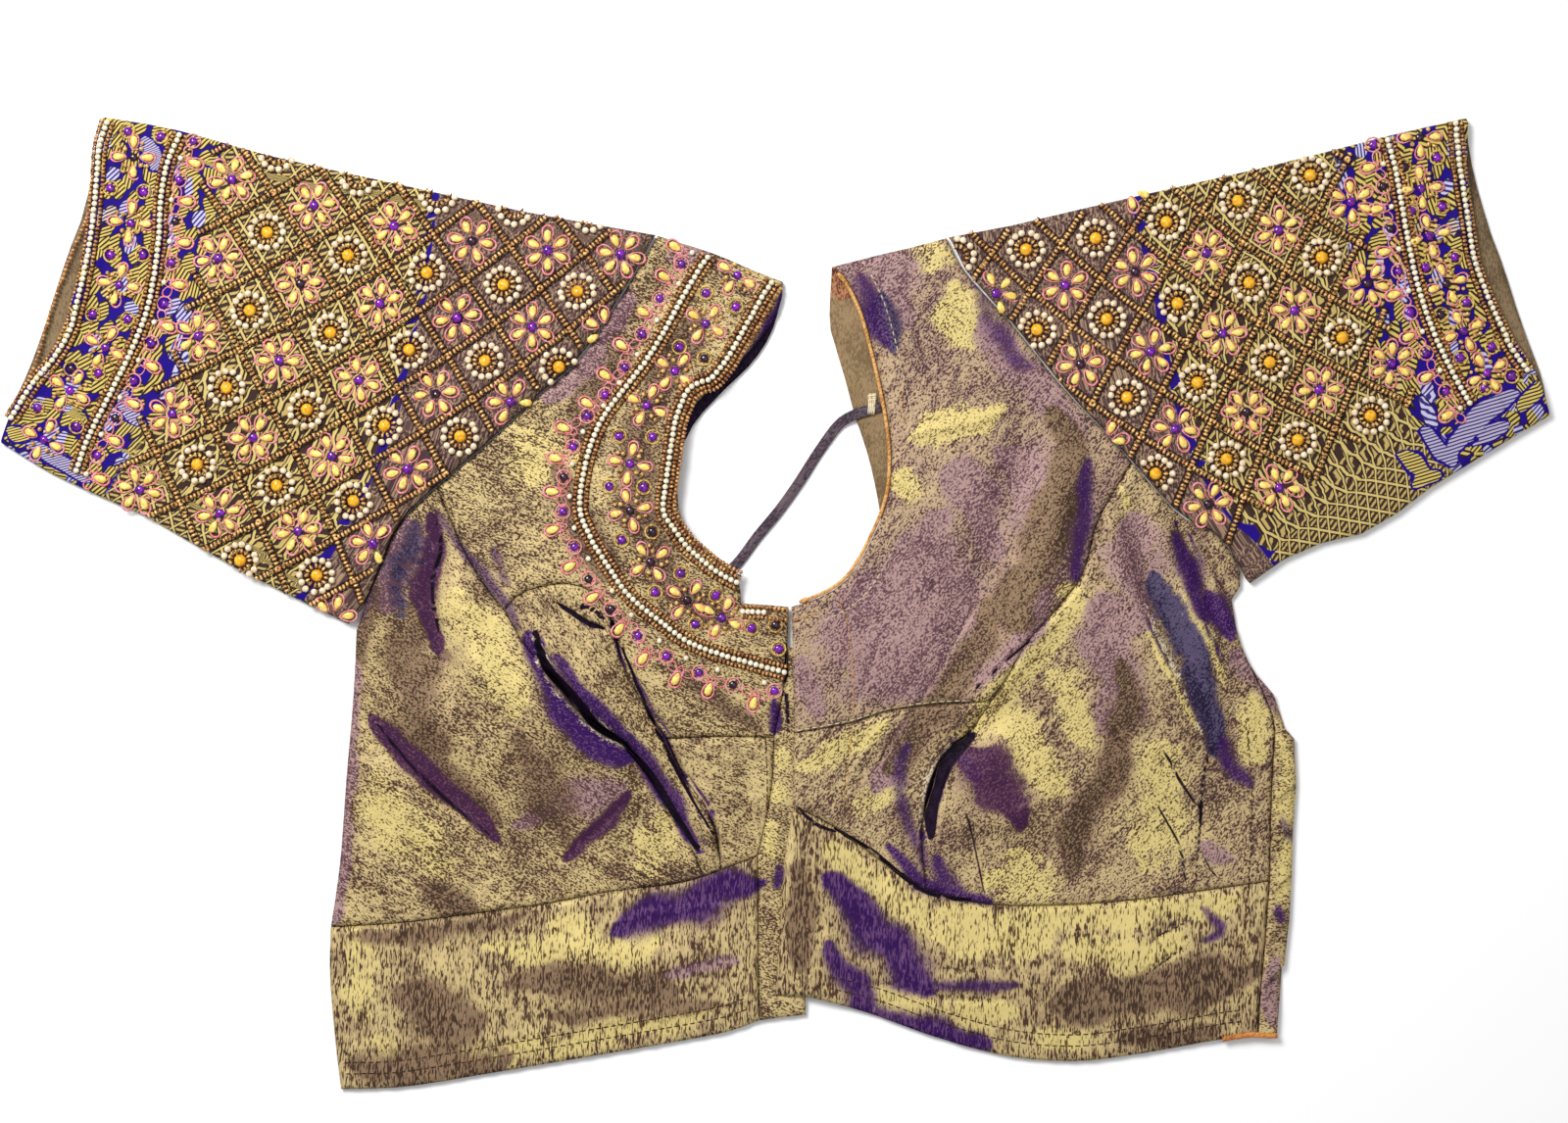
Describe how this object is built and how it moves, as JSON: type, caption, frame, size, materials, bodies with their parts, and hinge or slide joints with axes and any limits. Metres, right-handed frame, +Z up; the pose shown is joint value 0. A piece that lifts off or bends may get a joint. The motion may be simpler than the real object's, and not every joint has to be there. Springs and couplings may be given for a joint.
{
  "type": "blouse",
  "caption": "Short fitted blouse laid flat face up, deep scooped neck, tie across the open back neck, princess-seamed cups, waistband and beaded elbow sleeves.",
  "frame": {"origin": "on the resting surface, at the middle of the laid-out garment's box", "axes": "+X towards the wearer's left sleeve, +Y towards the neck, +Z up out of the front of the garment"},
  "size_m": [0.686, 0.4308, 0.0138],
  "materials": {
    "gold_tissue": "gold and purple shot tissue silk, slightly lustrous",
    "purple_tissue": "purple-brown shot tissue silk, slightly lustrous",
    "lining": "matt plain-weave cotton lining",
    "brocade": "metallic brocade with bead and thread embroidery",
    "piping": "gold satin piping",
    "tie_cloth": "grey-purple tissue strap"
  },
  "bodies": {
    "root": {"right_neck_panel": "gold_tissue", "right_cup_panel": "purple_tissue", "right_centre_panel": "gold_tissue", "right_side_panel": "gold_tissue", "right_waistband": "gold_tissue", "right_hook_placket": "purple_tissue", "left_neck_panel": "gold_tissue", "left_centre_panel": "gold_tissue", "left_side_panel": "purple_tissue", "left_waistband": "gold_tissue", "back_panel": "lining", "right_sleeve": "brocade", "left_sleeve": "brocade", "neck_piping": "piping", "back_tie": "tie_cloth"}
  },
  "joints": []
}
